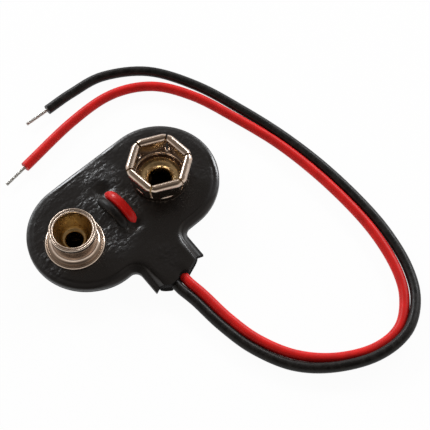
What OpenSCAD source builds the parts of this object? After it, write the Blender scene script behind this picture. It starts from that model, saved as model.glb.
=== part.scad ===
// Snap connector for a small block battery. A stiff board carries a round stud and a
// six-leaf socket on hollow rivets, and two vinyl sheets welded along their edge enclose it.
// A red and a black lead enter by the tail, loop over the front between the contacts as a
// strain relief, and are soldered to the rivets behind the board.
// Millimetres. Z = 0 is the back of the pouch, X runs along the contacts, the tail is at -Y,
// and the origin lies midway between the contacts.

/* [Pouch] */
// Reach of the pouch from the middle to the end beside the stud
pouch_left = 11.5; // [11:0.1:14]
// Reach of the pouch from the middle to the end beside the socket
pouch_right = 13.2; // [12.2:0.1:16]
// Width of the pouch across the contacts, the ends being half circles
pouch_w = 14.1; // [13:0.1:17]
// Thickness of each vinyl sheet
sheet_t = 0.35; // [0.25:0.05:0.5]
// Width of the flat weld round the edge
weld_w = 0.65; // [0.5:0.05:1]
// Height of the front face above the weld
weld_drop = 0.3; // [0.2:0.05:0.45]
// Bevel on the edge of the raised front
face_bevel = 0.2; // [0.1:0.05:0.25]
// Bevel on the edge of the back
back_bevel = 0.7; // [0.3:0.05:0.9]

/* [Tail] */
// Width of the tail
tail_w = 7; // [6:0.1:8]
// Middle of the tail along the contact line
tail_x = 0.3; // [-0.3:0.1:0.6]
// Distance from the contact line to the end of the tail, where the leads come out
tail_len = 10.95; // [9.8:0.05:13]
// How far the corners of the tail lie behind its end
tail_back = 0.55; // [0.2:0.05:0.8]
// Length of the points at the corners of the tail
tail_tip = 0.25; // [0.1:0.05:0.4]
// Radius where the tail runs into the pouch
neck_r = 0.9; // [0.5:0.1:1.1]

/* [Board] */
// Thickness of the board
board_t = 0.7; // [0.5:0.05:1]
// Gap between the board's edge and the pouch round it
board_gap = 0.1; // [0.05:0.01:0.2]

/* [Contacts] */
// Distance between the two contacts
contact_pitch = 12.7; // [12.4:0.1:13]
// Thickness of the sheet metal of both contacts
metal_t = 0.25; // [0.2:0.01:0.3]
// Thickness of the rivets' wall
rivet_t = 0.2; // [0.15:0.01:0.25]
// Running clearance between pieces that pass through one another
fit = 0.05; // [0.03:0.01:0.08]

/* [Stud] */
// Diameter of the stud's head
stud_head_d = 5.4; // [5.2:0.02:5.6]
// Diameter of the stud's neck
stud_neck_d = 5; // [4.8:0.02:5.1]
// Height of the stud above the board
stud_h = 3.55; // [3.2:0.05:3.8]
// Length of the straight wall of the stud's head
stud_land = 0.5; // [0.4:0.05:0.6]
// Diameter of the curled foot of the stud
stud_foot_d = 6.9; // [6.6:0.05:7.2]
// Diameter of the curl on the foot
stud_curl = 0.55; // [0.45:0.01:0.6]
// Height of the shelf inside the stud that the rivet holds down
stud_shelf = 0.9; // [0.7:0.05:1.1]
// Radius between the wall and the floor of the cup inside the stud
bowl_fillet = 0.75; // [0.4:0.05:0.8]
// Bore of the stud's rivet
stud_bore_d = 2; // [1.8:0.05:2.2]
// Diameter of the clinch behind the board
stud_clinch_d = 3.9; // [3.5:0.05:4.2]

/* [Socket] */
// Width of the socket across the flats of its rim
socket_rim_af = 7.2; // [7:0.05:7.4]
// Diameter over the rounded corners of the rim
socket_corner_d = 7.7; // [7.5:0.05:7.9]
// Diameter of the cup that carries the leaves
socket_cup_d = 6.6; // [6.4:0.05:6.7]
// Diameter inside the round lip of the cup, which the leaves stand on
lip_d = 5.5; // [5.3:0.05:5.7]
// Height of the lip above the board
lip_h = 1.1; // [0.9:0.05:1.3]
// How far the feet of the leaves stand in from the edge of the cup
leaf_in = 0.1; // [0.05:0.05:0.2]
// Height of the socket above the board
socket_h = 3.85; // [3.4:0.05:4.1]
// Width of the rolled rim of each leaf
roll_w = 1; // [0.85:0.01:1.05]
// Length of the free edge turned down inside the rim
roll_drop = 0.15; // [0.1:0.05:0.3]
// Width of the slit between two leaves
slit_w = 0.25; // [0.15:0.01:0.35]
// Turn of the socket on its rivet, in degrees
socket_turn = 4.5; // [-10:0.5:10]
// Diameter of the rivet's flange inside the socket
socket_flange_d = 5; // [4.7:0.05:5.1]
// Diameter of the mouth of the rivet's funnel
funnel_d = 4.2; // [3.8:0.05:4.3]
// Bore of the socket's rivet
socket_bore_d = 2.7; // [2.3:0.05:2.9]
// Diameter of the clinch behind the board
socket_clinch_d = 4.4; // [4:0.05:4.7]

/* [Leads] */
// Diameter of each lead over its insulation
lead_d = 1.2; // [1:0.05:1.3]
// Distance between the two leads
lead_pitch = 1.25; // [1.2:0.01:1.4]
// Middle of the pair of leads along the contact line
lead_x = -0.2; // [-0.4:0.05:0.3]
// Middle of the loop over the front, across the contact line
loop_y = -0.05; // [-0.3:0.05:0.3]
// Distance between the two slots that the loop passes through
loop_span = 4.4; // [4.2:0.1:5]
// Height of the loop's underside above the front face
loop_rise = 0.15; // [0.05:0.05:0.4]
// Run of a lead's slope on either side of the middle of a slot
loop_ramp = 0.75; // [0.7:0.05:0.8]
// Climb of a lead over the same run
loop_climb = 0.9; // [0.8:0.05:1]
// Distance from the middle of the first slot to where the leads lie flat
loop_lie = 2; // [1.8:0.1:2.4]
// Length of each slot in the board
slot_l = 2.9; // [2.7:0.05:3.1]
// Radius of the slots' corners
slot_r = 0.25; // [0.1:0.05:0.4]
// Diameter of the bare conductor
core_d = 0.4; // [0.3:0.02:0.5]
// Length of the bare conductor at the free ends
bare_len = 3.1; // [2.5:0.1:6]
// Distance along the contact line from a solder joint to the end of its insulation
strip_x = 1.6; // [1.2:0.1:1.8]
// Distance across the contact line from a solder joint to the end of its insulation
strip_y = 1.6; // [1.4:0.1:1.9]
// Direction from the middle of a rivet to its solder joint, in degrees from the contact line
joint_angle = 55; // [45:1:65]
// Diameter of the solder joints
solder_d = 1.5; // [1.2:0.05:1.7]
// Height of the solder joints
solder_h = 0.55; // [0.4:0.05:0.7]

/* [Hidden] */

$fn = 64;
cut = 1;
lead_sides = 8;
held_steps = 3;
free_steps = 2;
leaves = 6;
leaf_angle = 360 / leaves;

vinyl = [0.10, 0.10, 0.11];
back_vinyl = [0.12, 0.12, 0.13];
hardboard = [0.45, 0.33, 0.22];
nickel = [0.78, 0.75, 0.71];
brass = [0.62, 0.48, 0.25];
red_pvc = [0.78, 0.10, 0.08];
black_pvc = [0.13, 0.12, 0.11];
tinned = [0.72, 0.72, 0.70];

// Levels of the stack, from the back of the pouch to its front
z_lead = sheet_t + lead_d / 2;
z_board = sheet_t + lead_d + fit;
z_top = z_board + board_t;
z_face = z_top + sheet_t;
z_weld = z_face - weld_drop;
z_seam = z_weld - sheet_t;
z_tail = z_lead + lead_d / 2 + sheet_t;
z_clinch = z_board - rivet_t;

// Plan of the pouch
end_r = pouch_w / 2;
end_left_x = end_r - pouch_left;
end_right_x = pouch_right - end_r;
wall_inset = weld_w + sheet_t;
neck_y = wall_inset - end_r;
tail_left = tail_x - tail_w / 2;
tail_right = tail_x + tail_w / 2;

stud_x = -contact_pitch / 2;
socket_x = contact_pitch / 2;
red_x = lead_x + lead_pitch / 2;
black_x = lead_x - lead_pitch / 2;

// Slots in the front sheet, closer round the leads than those in the board
z_slot = (z_board + z_face) / 2;
loop_slope = atan2(loop_climb, loop_ramp);
cover_span = loop_span - 2 * (z_face - sheet_t / 2 - z_slot) / tan(loop_slope);
cover_slot_l = lead_d / sin(loop_slope) + sheet_t / tan(loop_slope) + 4 * fit;

stud_bore_r = stud_bore_d / 2;
stud_barrel_r = stud_bore_r + rivet_t;
stud_inner_r = stud_neck_d / 2 - metal_t;
stud_head_r = stud_head_d / 2;
stud_swell = stud_head_r - stud_neck_d / 2;
stud_land_z = stud_h - metal_t / 2 - stud_land;
stud_swell_z = stud_land_z - 2 * stud_swell;
socket_bore_r = socket_bore_d / 2;
socket_barrel_r = socket_bore_r + rivet_t;

// Length of each lead that runs straight on either side of the end of the tail, and at its joint
tail_straight = 1;
joint_straight = 0.3;

// Routes of the free leads on the surface that the pouch lies on, after the straight start
red_route = [
  [0.7, -14, 0.7], [0.9, -18, 0.6], [1.6, -22, 0.6], [3.4, -26, 0.6], [6.4, -29.2, 0.6],
  [10.4, -31.3, 0.6], [14.2, -31.4, 0.6], [17.2, -29.3, 0.6], [19.1, -26.2, 0.6],
  [20.4, -21.8, 0.6], [20.9, -17, 0.6], [20.8, -11, 0.6], [20.2, -5, 0.6], [19, 1, 0.6],
  [17.3, 6.6, 0.6], [14.5, 11, 0.6], [10, 13.4, 0.6], [4, 13.6, 0.6], [-4, 12.5, 0.6]
];
black_route = [
  [-0.6, -14, 0.7], [-0.4, -18, 0.6], [0.3, -22.4, 0.6], [2.2, -26.8, 0.7], [5.4, -30.1, 1],
  [9.8, -32.4, 1.3], [14.3, -32.6, 1.3], [18, -30.4, 0.9], [20.4, -26.8, 0.6],
  [21.8, -22, 0.6], [22.3, -17, 0.6], [22.2, -11, 0.6], [21.6, -5, 0.6], [20.4, 1, 0.6],
  [18.6, 7.4, 0.6], [15.6, 12.9, 0.6], [11, 16.1, 0.6], [6.6, 16.8, 0.6], [2.9, 16.9, 0.6]
];

// Points on an arc, from angle a to angle b
function arc(centre, r, a, b, n = 8) =
  [for (i = [0:n]) centre + r * [cos(a + (b - a) * i / n), sin(a + (b - a) * i / n)]];

function unit(v) = v / norm(v);

// Route point beyond either end, so that a route leaves its ends straight
function route_point(route, i) =
  let (last = len(route) - 1)
  i < 0 ? 2 * route[0] - route[1]
  : i > last ? 2 * route[last] - route[last - 1]
  : route[i];

// Smooth curve through a route's own points
function on_route(a, b, c, d, t) =
  b + (c - a) * t / 2
  + (2 * a - 5 * b + 4 * c - d) * t * t / 2
  + (3 * b - a - 3 * c + d) * t * t * t / 2;

function smooth(route, steps) = [
  for (i = [0:len(route) - 2], k = [0:steps - 1])
    on_route(route_point(route, i - 1), route[i], route[i + 1], route_point(route, i + 2), k / steps),
  route[len(route) - 1]
];

// Ring of points round a path, square to it
function path_ring(path, i, r, sides) =
  let (
    last = len(path) - 1,
    ahead = unit(path[min(i + 1, last)] - path[max(i - 1, 0)]),
    side = unit(cross(ahead, [0, 0, 1])),
    up = cross(side, ahead)
  )
  [for (k = [0:sides - 1]) let (a = 360 * (k + 0.5) / sides) path[i] + r * (cos(a) * side + sin(a) * up)];

module tube(path, d, sides) {
  rings = len(path);
  points = [for (i = [0:rings - 1]) each path_ring(path, i, d / 2, sides)];
  walls = [
    for (i = [0:rings - 2], k = [0:sides - 1])
      [i * sides + k, i * sides + (k + 1) % sides, (i + 1) * sides + (k + 1) % sides, (i + 1) * sides + k]
  ];
  first = [for (k = [sides - 1:-1:0]) k];
  last = [for (k = [0:sides - 1]) (rings - 1) * sides + k];
  polyhedron(points, concat(walls, [first, last]), convexity = 8);
}

// Straight rod between two points
module rod(from, to, d) {
  along = to - from;
  flat = norm([along.x, along.y]);
  translate(from)
    rotate([0, atan2(flat, along.z), atan2(along.y, along.x)])
      cylinder(d = d, h = norm(along));
}

// Plan of the pouch without its tail, set in from its edge
module stadium(inset) {
  r = end_r - inset;
  translate([end_left_x, 0])
    circle(r);
  translate([end_right_x, 0])
    circle(r);
  translate([end_left_x, -r])
    square([end_right_x - end_left_x, 2 * r]);
}

// The same plan as a solid whose edge slopes from one inset to another
module stadium_bevel(inset_low, inset_high, h) {
  low = end_r - inset_low;
  high = end_r - inset_high;
  for (x = [end_left_x, end_right_x])
    translate([x, 0, 0])
      cylinder(r1 = low, r2 = high, h = h);
  translate([end_left_x, 0, 0])
    rotate([90, 0, 90])
      linear_extrude(end_right_x - end_left_x)
        polygon([[-low, 0], [low, 0], [high, h], [-high, h]]);
}

// Rounding between the pouch and one side of its tail
module neck_fillet(side, inset) {
  r = neck_r + inset;
  reach = r + weld_w;
  translate([side < 0 ? tail_left - neck_r : tail_right + neck_r, -end_r - neck_r])
    difference() {
      translate([side < 0 ? 0 : -reach, 0])
        square(reach);
      circle(r);
    }
}

// Plan of the tail, which bows out where the leads pass and has a point at each corner
module tail_plan(inset) {
  root_y = neck_y + back_bevel;
  corner_y = -tail_len + tail_back;
  point_y = inset > 0 ? corner_y + tail_tip : corner_y;
  lead_half = (lead_pitch + lead_d) / 2;
  polygon([
    [tail_left + inset, root_y], [tail_left + inset, point_y],
    [tail_left + weld_w, corner_y + tail_tip], [lead_x - lead_half, -tail_len],
    [lead_x + lead_half, -tail_len], [tail_right - weld_w, corner_y + tail_tip],
    [tail_right - inset, point_y], [tail_right - inset, root_y]
  ]);
}

module pouch_plan(inset) {
  stadium(inset);
  tail_plan(inset);
  neck_fillet(-1, inset);
  neck_fillet(1, inset);
}

// Layer that is level over the pouch and slopes down along the tail
module draped(low, low_tail, high, high_tail) {
  run = tail_len + neck_y;
  low_end = low_tail - (low - low_tail) * cut / run;
  high_end = high_tail - (high - high_tail) * cut / run;
  translate([-pouch_left - cut, 0, 0])
    rotate([90, 0, 90])
      linear_extrude(pouch_left + pouch_right + 2 * cut)
        polygon([
          [end_r + cut, low], [end_r + cut, high], [neck_y, high],
          [-tail_len - cut, high_end], [-tail_len - cut, low_end], [neck_y, low]
        ]);
}

// Passage for the two leads through the tail
module lead_passage() {
  r = lead_d / 2 + fit;
  translate([lead_x, neck_y + cut, z_lead])
    rotate([90, 0, 0])
      linear_extrude(tail_len + neck_y + 2 * cut) {
        for (side = [-1, 1])
          translate([side * lead_pitch / 2, 0])
            circle(r);
        translate([-lead_pitch / 2, -r])
          square([lead_pitch, 2 * r]);
      }
}

// Two slots of one length at one level, for the loop of the leads to pass through
module loop_slots(span, length, z, h) {
  x = (lead_pitch + lead_d) / 2 + 2 * fit - slot_r;
  y = length / 2 - slot_r;
  for (side = [-1, 1])
    translate([lead_x, loop_y + side * span / 2, z])
      linear_extrude(h)
        polygon(concat(
          arc([x, y], slot_r, 0, 90), arc([-x, y], slot_r, 90, 180),
          arc([-x, -y], slot_r, 180, 270), arc([x, -y], slot_r, 270, 360)
        ));
}

module front_cover() {
  color(vinyl)
    difference() {
      union() {
        intersection() {
          linear_extrude(z_face)
            pouch_plan(0);
          draped(z_seam, z_lead, z_weld, z_lead + sheet_t);
        }
        intersection() {
          union() {
            linear_extrude(z_face - face_bevel)
              stadium(weld_w);
            translate([0, 0, z_face - face_bevel])
              stadium_bevel(weld_w, weld_w + face_bevel, face_bevel);
            linear_extrude(z_face) {
              tail_plan(weld_w);
              neck_fillet(-1, weld_w);
              neck_fillet(1, weld_w);
            }
          }
          draped(z_seam, z_lead, z_face, z_tail);
        }
      }
      translate([0, 0, z_seam - cut])
        linear_extrude(z_top - z_seam + cut)
          stadium(wall_inset);
      translate([stud_x, 0, z_seam])
        cylinder(d = stud_foot_d + 2 * fit, h = z_face);
      translate([socket_x, 0, z_seam])
        cylinder(d = socket_cup_d + 2 * fit, h = z_face);
      loop_slots(cover_span, cover_slot_l, z_top - cut, sheet_t + 2 * cut);
      lead_passage();
    }
}

module back_cover() {
  color(back_vinyl)
    difference() {
      union() {
        intersection() {
          linear_extrude(z_face)
            pouch_plan(0);
          draped(z_seam - sheet_t, z_lead - sheet_t, z_seam, z_lead);
        }
        intersection() {
          union() {
            stadium_bevel(weld_w + back_bevel, weld_w, back_bevel);
            translate([0, 0, back_bevel])
              linear_extrude(z_face)
                stadium(weld_w);
            linear_extrude(z_face) {
              tail_plan(weld_w);
              neck_fillet(-1, weld_w);
              neck_fillet(1, weld_w);
            }
          }
          draped(0, 0, z_seam, z_lead);
        }
      }
      translate([0, 0, back_bevel + sheet_t])
        linear_extrude(z_face)
          stadium(wall_inset);
      translate([0, 0, sheet_t])
        stadium_bevel(wall_inset + back_bevel, wall_inset, back_bevel);
      lead_passage();
    }
}

module board() {
  color(hardboard)
    difference() {
      translate([0, 0, z_board])
        linear_extrude(board_t)
          stadium(wall_inset + board_gap);
      translate([stud_x, 0, z_board - cut])
        cylinder(r = stud_barrel_r + fit, h = board_t + 2 * cut);
      translate([socket_x, 0, z_board - cut])
        cylinder(r = socket_barrel_r + fit, h = board_t + 2 * cut);
      loop_slots(loop_span, slot_l, z_board - cut, board_t + 2 * cut);
    }
}

// Drawn shell with a curled foot, a neck, a wider head and an inner shelf for its rivet
module stud() {
  neck_wall_r = stud_neck_d / 2;
  curl_r = stud_curl / 2;
  curl_x = stud_foot_d / 2 - curl_r;
  foot_sweep = curl_x - curl_r / 2 - neck_wall_r;
  edge_r = metal_t / 2;
  shell = concat(
    arc([curl_x, curl_r], curl_r, -90, 120),
    arc([neck_wall_r + foot_sweep, stud_curl + foot_sweep], foot_sweep, 270, 180),
    [[neck_wall_r, stud_swell_z], [stud_head_r, stud_land_z]],
    arc([stud_head_r - edge_r, stud_h - edge_r], edge_r, 0, 180),
    [
      [stud_head_r - metal_t, stud_land_z], [stud_inner_r, stud_swell_z],
      [stud_inner_r, stud_shelf], [stud_barrel_r + fit, stud_shelf],
      [stud_barrel_r + fit, stud_shelf - metal_t], [neck_wall_r, stud_shelf - metal_t],
      [curl_x - curl_r, metal_t], [curl_x - curl_r, 0]
    ]
  );
  color(nickel)
    translate([stud_x, 0, z_top])
      rotate_extrude()
        polygon(shell);
}

// Brass cup that lines the stud, whose barrel passes through the board and is clinched behind it
module stud_rivet() {
  cup_r = stud_inner_r - fit;
  bowl_r = cup_r - rivet_t;
  edge_r = rivet_t / 2;
  floor_z = stud_shelf + rivet_t;
  fillet = min(bowl_fillet, bowl_r - stud_barrel_r);
  mouth = concat(
    [[cup_r, stud_shelf], [cup_r, stud_swell_z], [cup_r + stud_swell, stud_land_z]],
    arc([cup_r + stud_swell - edge_r, stud_h - fit - edge_r], edge_r, 0, 180),
    [[bowl_r + stud_swell, stud_land_z], [bowl_r, stud_swell_z]],
    arc([bowl_r - fillet, floor_z + fillet], fillet, 360, 270),
    arc([stud_barrel_r, floor_z - rivet_t], rivet_t, 90, 180)
  );
  color(brass)
    translate([stud_x, 0, z_top])
      rotate_extrude()
        polygon(concat(mouth, clinch(stud_bore_r, stud_clinch_d / 2), [[stud_barrel_r, stud_shelf]]));
}

// Lower end of a rivet: bore, flared edge against the back of the board, and barrel
function clinch(bore_r, edge_r) = [
  [bore_r, -board_t - rivet_t], [edge_r, -board_t - rivet_t], [edge_r, -board_t],
  [bore_r + rivet_t, -board_t]
];

// One spring leaf of the socket: flat leaning wall and rolled rim, cut to its share of the turn
module socket_leaf() {
  corner_r = socket_corner_d / 2;
  foot = socket_cup_d / 2 - leaf_in - metal_t;
  foot_z = lip_h - metal_t / 2;
  roll_r = roll_w / 2;
  fold_r = roll_r - metal_t;
  roll_x = socket_rim_af / 2 - roll_r;
  roll_z = socket_h - roll_r;
  half_angle = leaf_angle / 2;
  apex = slit_w / 2 / sin(half_angle);
  reach = corner_r + cut;
  half_w = (reach - apex) * tan(half_angle);
  // Lean of the wall, which runs straight into the roll
  run = norm([roll_x - foot, roll_z - lip_h]);
  lean = atan2(roll_x - foot, roll_z - lip_h) + asin(fold_r / run);
  foot_back = foot + metal_t / cos(lean);
  foot_corner_r = corner_r * foot_back / (socket_rim_af / 2);
  section = concat(
    [[foot_back, foot_z], [foot_back, lip_h]],
    arc([roll_x, roll_z], roll_r, -lean, 180),
    [[roll_x - roll_r, roll_z - roll_drop], [roll_x - fold_r, roll_z - roll_drop]],
    arc([roll_x, roll_z], fold_r, 180, -lean),
    [[foot, lip_h], [foot, foot_z]]
  );
  // Round body that the ends of the leaves keep within
  body = concat(
    [[0, foot_z], [foot_corner_r, foot_z], [corner_r, roll_z]],
    arc([corner_r - roll_r, roll_z + fit], roll_r, 0, 90),
    [[0, socket_h + fit]]
  );
  intersection() {
    rotate([90, 0, 0])
      linear_extrude(2 * half_w, center = true)
        polygon(section);
    linear_extrude(socket_h + cut)
      polygon([[apex, 0], [reach, -half_w], [reach, half_w]]);
    rotate_extrude()
      polygon(body);
  }
}

// Drawn cup with a lip turned in at its top, which carries six leaves with slits between them
module socket() {
  cup_r = socket_cup_d / 2;
  wall_r = cup_r - metal_t;
  lip_r = lip_d / 2;
  lip_z = lip_h - metal_t;
  hole_r = funnel_d / 2 + fit;
  cup = concat(
    [[hole_r, 0]],
    arc([wall_r, metal_t], metal_t, 270, 360),
    arc([wall_r, lip_z], metal_t, 0, 90),
    [[lip_r, lip_h], [lip_r, lip_z], [wall_r, lip_z], [wall_r, metal_t], [hole_r, metal_t]]
  );
  color(nickel)
    translate([socket_x, 0, z_top])
      rotate(socket_turn) {
        rotate_extrude()
          polygon(cup);
        for (i = [0:leaves - 1])
          rotate(i * leaf_angle)
            socket_leaf();
      }
}

// Rivet with a flange and a rounded funnel that holds the socket to the board
module socket_rivet() {
  mouth_z = metal_t + rivet_t;
  mouth_r = funnel_d / 2;
  flange_r = socket_flange_d / 2;
  funnel_fillet = mouth_r - socket_bore_r;
  color(brass)
    translate([socket_x, 0, z_top])
      rotate_extrude()
        polygon(concat(
          [[mouth_r - rivet_t, metal_t], [flange_r, metal_t], [flange_r, mouth_z]],
          arc([mouth_r, mouth_z - funnel_fillet], funnel_fillet, 90, 180),
          clinch(socket_bore_r, socket_clinch_d / 2),
          [[socket_barrel_r, 0]]
        ));
}

// Place on the back of a rivet's clinch where a lead is soldered, towards the loop
function joint(x, bore_d, clinch_d) =
  let (r = (bore_d + clinch_d) / 4, a = x > 0 ? 180 - joint_angle : joint_angle)
  [x + r * cos(a), r * sin(a), z_clinch - core_d / 2];

red_joint = joint(socket_x, socket_bore_d, socket_clinch_d);
black_joint = joint(stud_x, stud_bore_d, stud_clinch_d);

// End of a held lead's insulation beside its joint
function insulation_end(at) =
  let (side = at.x > 0 ? -1 : 1)
  [at.x + side * strip_x, at.y + strip_y, z_lead];

// Path of a held lead: tail, loop over the front, and a turn back to its joint
function held_path(x, at) =
  let (
    near = loop_y - loop_span / 2,
    far = loop_y + loop_span / 2,
    z_crest = z_face + lead_d / 2 + loop_rise,
    side = at.x > 0 ? 1 : -1,
    turn_y = far + 1.5 * lead_d,
    out = insulation_end(at),
    out_start = out - joint_straight * unit(at - out),
    route = [
      [x, -tail_len + tail_straight, z_lead], [x, near - loop_lie, z_lead],
      [x, near - loop_ramp, z_slot - loop_climb], [x, near, z_slot],
      [x, near + loop_ramp, z_slot + loop_climb], [x, loop_y, z_crest],
      [x, far - loop_ramp, z_slot + loop_climb], [x, far, z_slot],
      [x, far + loop_ramp, z_slot - loop_climb], [x + side * lead_d / 2, turn_y, z_lead],
      [(x + out.x) / 2, turn_y + lead_d / 4, z_lead], out_start
    ]
  )
  concat([[x, -tail_len, z_lead]], smooth(route, held_steps), [out]);

module held_lead(x, at) {
  tube(held_path(x, at), lead_d, lead_sides);
}

module red_lead() {
  color(red_pvc)
    held_lead(red_x, red_joint);
}

module black_lead() {
  color(black_pvc)
    held_lead(black_x, black_joint);
}

module red_core() {
  color(tinned)
    rod(insulation_end(red_joint), red_joint, core_d);
}

module black_core() {
  color(tinned)
    rod(insulation_end(black_joint), black_joint, core_d);
}

// Dome of solder round the end of a conductor
module solder(at) {
  r = (pow(solder_d / 2, 2) + pow(solder_h, 2)) / (2 * solder_h);
  half = asin(solder_d / 2 / r);
  difference() {
    translate([at.x, at.y, z_clinch])
      rotate_extrude()
        polygon(concat([[0, 0]], arc([0, r - solder_h], r, 270 + half, 270)));
    rod(insulation_end(at), at, core_d);
  }
}

module red_solder() {
  color(tinned)
    solder(red_joint);
}

module black_solder() {
  color(tinned)
    solder(black_joint);
}

// Path of a free lead, from the end of the tail
function free_path(x, route) =
  let (start = [x, -tail_len - tail_straight, z_lead])
  concat([[x, -tail_len, z_lead]], smooth(concat([start], route), free_steps));

module free_lead(x, route) {
  tube(free_path(x, route), lead_d, lead_sides);
}

module red_free_lead() {
  color(red_pvc)
    free_lead(red_x, red_route);
}

module black_free_lead() {
  color(black_pvc)
    free_lead(black_x, black_route);
}

// Bare conductor that carries on from the end of a free lead
module bare_end(x, route) {
  path = free_path(x, route);
  last = len(path) - 1;
  rod(path[last], path[last] + bare_len * unit(path[last] - path[last - 1]), core_d);
}

module red_bare_end() {
  color(tinned)
    bare_end(red_x, red_route);
}

module black_bare_end() {
  color(tinned)
    bare_end(black_x, black_route);
}

front_cover();
back_cover();
board();
stud();
stud_rivet();
socket();
socket_rivet();
red_lead();
black_lead();
red_core();
black_core();
red_solder();
black_solder();
red_free_lead();
black_free_lead();
red_bare_end();
black_bare_end();
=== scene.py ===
import math

import bmesh
import bpy
from bmesh.types import BMEdge, BMFace, BMVert
from bpy.props import FloatProperty, FloatVectorProperty, IntProperty, PointerProperty
from mathutils import Matrix, Vector, noise


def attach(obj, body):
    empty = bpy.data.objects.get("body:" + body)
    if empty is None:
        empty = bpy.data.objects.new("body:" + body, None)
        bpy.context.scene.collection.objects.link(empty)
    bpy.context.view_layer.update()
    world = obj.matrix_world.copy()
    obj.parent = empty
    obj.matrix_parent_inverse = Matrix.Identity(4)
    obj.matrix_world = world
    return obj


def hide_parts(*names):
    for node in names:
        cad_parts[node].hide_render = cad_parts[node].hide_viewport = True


bl_info = {
    "name": "Battery snap",
    "version": (1, 0, 0),
    "blender": (4, 5, 0),
    "location": "View3D > Sidebar > Snap",
    "description": "Dresses the frame of a battery snap with its vinyl pouch, contacts and leads",
    "category": "Object",
}

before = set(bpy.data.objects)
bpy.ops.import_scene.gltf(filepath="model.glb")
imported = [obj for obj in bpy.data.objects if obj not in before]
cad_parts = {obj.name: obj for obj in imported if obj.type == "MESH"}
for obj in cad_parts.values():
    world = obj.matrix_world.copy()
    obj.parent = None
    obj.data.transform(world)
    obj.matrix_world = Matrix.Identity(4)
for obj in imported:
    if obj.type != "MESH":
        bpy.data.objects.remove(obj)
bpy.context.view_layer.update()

# Levels of the stack above the back of the pouch, in millimetres
Z_LEAD = 0.95
Z_TOP = 2.3
Z_FACE = 2.65
Z_WELD = 2.35
Z_SEAM = 2.0

# How far the weld is rounded down at its edge, and how far the weld and the face sink along the tail
EDGE = 0.2
WELD_DROP = 1.05
FACE_DROP = 0.75

# Sides of the pair of leads in the tail, and the length of the tail that follows the shape of its end
LEAD_LEFT = -1.425
LEAD_RIGHT = 1.025
TAIL_END = 2.2

# Middle and reach in millimetres of each place where the front sheet is slack, and how slack it is; there its
# raised cells also get a painted highlight
SLACK = (
    ((1.0, 4.0), 3.2, 0.9), ((-1.8, 1.8), 3.0, 0.9), ((1.2, -0.4), 2.6, 0.9), ((-2.4, -2.7), 2.9, 1.0),
    ((-9.9, -0.8), 2.6, 0.9), ((0.2, -7.8), 2.6, 0.35), ((10.8, -2.4), 2.8, 0.4),
)

# Middle and reach in millimetres of each place where the edge of the weld shines, and how steep it is there
SHINE = (((-1.85, 7.05), 2.1, 0.85), ((4.1, 7.05), 0.85, 0.85), ((12.0, -3.3), 1.5, 1.3))

# Near and far end of each slot for the lead loop, and place and reach of the dent at each end of the loop
SLOTS = ((-2.65, -0.95), (0.9, 2.95))
DENTS = ((-2.9, 0.55), (2.6, 0.8))

# Course of the lead loop from the tail over the front and back in, as places along Y and heights
LOOP = (
    (-10.95, Z_LEAD), (-9.95, Z_LEAD), (-4.25, Z_LEAD), (-3.0, 1.225), (-2.25, 2.125), (-1.5, 3.025),
    (-0.05, 3.4), (1.4, 3.025), (2.15, 2.125), (2.9, 1.225),
)

# Place of the camera and of each soft box in metres, and the way the camera looks
CAMERA = (-0.03795, -0.05869, 0.13625)
AHEAD = (0.3044, 0.3377, -0.8907)
LEFT_BOX = (0.035, 0.396, 0.211)
RIGHT_BOX = (0.394, 0.055, 0.211)

# Route of each free lead on the floor, in metres
RED_ROUTE = (
    (0.000425, -0.01095, 0.00095), (0.000425, -0.01195, 0.00095), (0.0007, -0.014, 0.0007),
    (0.0009, -0.018, 0.0006), (0.0016, -0.022, 0.0006), (0.0034, -0.026, 0.0006),
    (0.0064, -0.0292, 0.0006), (0.0104, -0.0313, 0.0006), (0.0142, -0.0314, 0.0006),
    (0.0172, -0.0293, 0.0006), (0.0191, -0.0262, 0.0006), (0.0204, -0.0218, 0.0006),
    (0.02096, -0.017, 0.0006), (0.02098, -0.011, 0.0006), (0.02038, -0.005, 0.0006),
    (0.019, 0.001, 0.0006), (0.0173, 0.0066, 0.0006), (0.0145, 0.011, 0.0006),
    (0.01, 0.0134, 0.0006), (0.004, 0.0136, 0.0006), (-0.004, 0.0125, 0.0006),
)
BLACK_ROUTE = (
    (-0.000825, -0.01095, 0.00095), (-0.000825, -0.01195, 0.00095), (-0.00051, -0.014, 0.0007),
    (-0.0003, -0.018, 0.0006), (0.00044, -0.02236, 0.0006), (0.00232, -0.02672, 0.0007),
    (0.00548, -0.03, 0.001), (0.00983, -0.03228, 0.0013), (0.01424, -0.03248, 0.0013),
    (0.0179, -0.03032, 0.0009), (0.02026, -0.02674, 0.0006), (0.02163, -0.022, 0.0006),
    (0.02218, -0.017, 0.0006), (0.0222, -0.011, 0.0006), (0.0216, -0.005, 0.0006),
    (0.0204, 0.001, 0.0006), (0.0186, 0.0074, 0.0006), (0.0156, 0.0129, 0.0006),
    (0.011, 0.0161, 0.0006), (0.0066, 0.0168, 0.0006), (0.0029, 0.0169, 0.0006),
)


def mm(length):
    """A length property in millimetres, the unit that the meshes are modelled in."""
    return length * 1000


def clamp(value):
    return min(1, max(0, value))


def length(label, about, default):
    return FloatProperty(name=label, description=about, default=default, unit="LENGTH", precision=5)


def power(label, about, default):
    return FloatProperty(name=label, description=about, default=default, unit="POWER")


def colour(label, about, default):
    return FloatVectorProperty(name=label, description=about, default=default, subtype="COLOR", min=0, max=1)


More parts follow.
